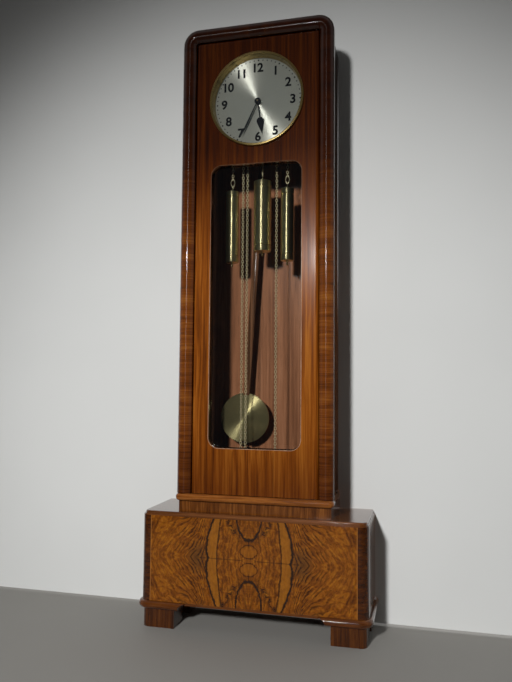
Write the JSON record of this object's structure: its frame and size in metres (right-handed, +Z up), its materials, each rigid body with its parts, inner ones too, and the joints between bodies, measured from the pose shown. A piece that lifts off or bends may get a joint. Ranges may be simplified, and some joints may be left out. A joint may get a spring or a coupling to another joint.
{
  "type": "longcase clock",
  "caption": "Longcase clock with a bullnose-framed trunk, hinged glazed door, round dial, chain-hung weights and pendulum, on a wide box base with bracket feet.",
  "frame": {"origin": "middle of the bounding box at floor level, between the four feet", "axes": "+Z up, +Y towards the wall behind the clock, +X to the viewer's right; the dial faces -Y"},
  "size_m": [0.719, 0.237, 1.88],
  "materials": {
    "burr_walnut": "french-polished burr veneer, bookmatched",
    "cross_banding": "french-polished veneer with the grain across",
    "walnut": "french-polished straight-grained veneer",
    "door_walnut": "french-polished veneer with the grain upright",
    "walnut_moulding": "french-polished cross-grain bullnose",
    "carcass_wood": "stained matt",
    "dark_wood": "stained satin",
    "rod_wood": "dark varnished",
    "brass": "brushed and lacquered",
    "steel": "satin",
    "blued_steel": "black satin",
    "silvered_dial": "circular-brushed silvered plate with printed figures",
    "glass": "clear"
  },
  "bodies": {
    "case": {"base_front": "burr_walnut", "base_corner_left": "cross_banding", "base_corner_right": "cross_banding", "base_side_left": "walnut", "base_side_right": "walnut", "base_back": "carcass_wood", "base_top": "walnut", "base_bottom": "carcass_wood", "plinth_moulding_left": "walnut_moulding", "plinth_moulding_right": "walnut_moulding", "foot_front_left": "walnut_moulding", "foot_front_right": "walnut_moulding", "foot_back_left": "walnut_moulding", "foot_back_right": "walnut_moulding", "trunk_spacer": "walnut", "trunk_base_board": "walnut_moulding", "trunk_side_left": "walnut", "trunk_side_right": "walnut", "trunk_top": "walnut", "backboard": "carcass_wood", "frame_left": "walnut_moulding", "frame_right": "walnut_moulding", "frame_top": "walnut_moulding", "seatboard": "carcass_wood", "hinge_pins": "steel", "dial_plate": "silvered_dial", "plate_front": "brass", "plate_back": "brass", "back_cock": "brass"},
    "door": {"door_panel": "door_walnut", "window_glass": "glass", "window_bead": "dark_wood", "dial_bezel": "brass", "dial_glass": "glass"},
    "minute": {"centre_wheel": "brass", "minute_hand": "blued_steel", "hand_nut": "brass"},
    "hour": {"hour_wheel": "brass", "hour_hand": "blued_steel"},
    "motion": {"minute_wheel": "brass"},
    "great": {"great_wheel": "brass"},
    "third": {"third_wheel": "brass"},
    "escape": {"escape_wheel": "brass"},
    "pendulum": {"suspension_spring": "steel", "pendulum_rod": "rod_wood", "pendulum_bob": "brass", "rating_nut": "brass"},
    "anchor": {"anchor": "steel"},
    "load_left": {"weight_left": "brass", "chain_loaded_left": "brass"},
    "free_left": {"chain_free_left": "brass"},
    "sprocket_left": {"chain_wheel_left": "brass"},
    "load_middle": {"weight_middle": "brass", "chain_loaded_middle": "brass"},
    "free_middle": {"chain_free_middle": "brass"},
    "sprocket_middle": {"chain_wheel_middle": "brass"},
    "load_right": {"weight_right": "brass", "chain_loaded_right": "brass"},
    "free_right": {"chain_free_right": "brass"},
    "sprocket_right": {"chain_wheel_right": "brass"}
  },
  "joints": [
    {"name": "door_hinge", "type": "hinge", "parent": "case", "child": "door", "pos_m": [0.1885, -0.0685, 1.12], "axis": [0, 0, 1], "range_deg": [0, 90]},
    {"name": "minute_hand_turn", "type": "hinge", "parent": "case", "child": "minute", "pos_m": [0, -0.0415, 1.634], "axis": [0, 1, 0], "continuous": true},
    {"name": "hour_hand_turn", "type": "hinge", "parent": "case", "child": "hour", "pos_m": [0, -0.0505, 1.634], "axis": [0, 1, 0], "continuous": true},
    {"name": "minute_wheel_turn", "type": "hinge", "parent": "case", "child": "motion", "pos_m": [0, -0.0455, 1.618], "axis": [0, 1, 0], "continuous": true},
    {"name": "great_wheel_turn", "type": "hinge", "parent": "case", "child": "great", "pos_m": [-0.0185, -0.0015, 1.60888], "axis": [0, 1, 0], "continuous": true},
    {"name": "third_wheel_turn", "type": "hinge", "parent": "case", "child": "third", "pos_m": [0.00676, -0.0255, 1.6564], "axis": [0, 1, 0], "continuous": true},
    {"name": "escape_wheel_turn", "type": "hinge", "parent": "case", "child": "escape", "pos_m": [0, -0.0045, 1.67744], "axis": [0, 1, 0], "continuous": true},
    {"name": "pendulum_swing", "type": "hinge", "parent": "case", "child": "pendulum", "pos_m": [0, 0.0585, 1.7], "axis": [0, 1, 0], "range_deg": [-8.5, 1.5]},
    {"name": "anchor_rock", "type": "hinge", "parent": "case", "child": "anchor", "pos_m": [0, -0.0035, 1.7], "axis": [0, 1, 0], "range_deg": [-8.5, 1.5]},
    {"name": "weight_left_slide", "type": "slide", "parent": "case", "child": "load_left", "axis": [0, 0, 1], "range_m": [-0.68, 0.08], "deforming": ["chain_loaded_left"]},
    {"name": "free_end_left_slide", "type": "slide", "parent": "case", "child": "free_left", "axis": [0, 0, 1], "range_m": [-0.08, 0.68], "deforming": ["chain_free_left"]},
    {"name": "chain_wheel_left_turn", "type": "hinge", "parent": "case", "child": "sprocket_left", "pos_m": [-0.0754, -0.0135, 1.6], "axis": [0, 1, 0], "range_deg": [-2240, 270]},
    {"name": "weight_middle_slide", "type": "slide", "parent": "case", "child": "load_middle", "axis": [0, 0, 1], "range_m": [-0.68, 0.08], "deforming": ["chain_loaded_middle"]},
    {"name": "free_end_middle_slide", "type": "slide", "parent": "case", "child": "free_middle", "axis": [0, 0, 1], "range_m": [-0.08, 0.68], "deforming": ["chain_free_middle"]},
    {"name": "chain_wheel_middle_turn", "type": "hinge", "parent": "case", "child": "sprocket_middle", "pos_m": [-0.0185, -0.0135, 1.60888], "axis": [0, 1, 0], "range_deg": [-190, 1570]},
    {"name": "weight_right_slide", "type": "slide", "parent": "case", "child": "load_right", "axis": [0, 0, 1], "range_m": [-0.68, 0.08], "deforming": ["chain_loaded_right"]},
    {"name": "free_end_right_slide", "type": "slide", "parent": "case", "child": "free_right", "axis": [0, 0, 1], "range_m": [-0.08, 0.68], "deforming": ["chain_free_right"]},
    {"name": "chain_wheel_right_turn", "type": "hinge", "parent": "case", "child": "sprocket_right", "pos_m": [0.0701, -0.0135, 1.6], "axis": [0, 1, 0], "range_deg": [-270, 2240]}
  ],
  "couplings": [
    {"joint": "hour_hand_turn", "follows": "minute_hand_turn", "ratio": 0.083333},
    {"joint": "minute_wheel_turn", "follows": "minute_hand_turn", "ratio": -0.33333},
    {"joint": "great_wheel_turn", "follows": "minute_hand_turn", "ratio": -0.083333},
    {"joint": "third_wheel_turn", "follows": "minute_hand_turn", "ratio": -8},
    {"joint": "escape_wheel_turn", "follows": "minute_hand_turn", "ratio": 60},
    {"joint": "anchor_rock", "follows": "pendulum_swing", "ratio": 1},
    {"joint": "free_end_left_slide", "follows": "weight_left_slide", "ratio": -1},
    {"joint": "chain_wheel_left_turn", "follows": "weight_left_slide", "rad_per_m": 57.471},
    {"joint": "free_end_middle_slide", "follows": "weight_middle_slide", "ratio": -1},
    {"joint": "chain_wheel_middle_turn", "follows": "weight_middle_slide", "rad_per_m": -40.161},
    {"joint": "free_end_right_slide", "follows": "weight_right_slide", "ratio": -1},
    {"joint": "chain_wheel_right_turn", "follows": "weight_right_slide", "rad_per_m": -57.471}
  ]
}
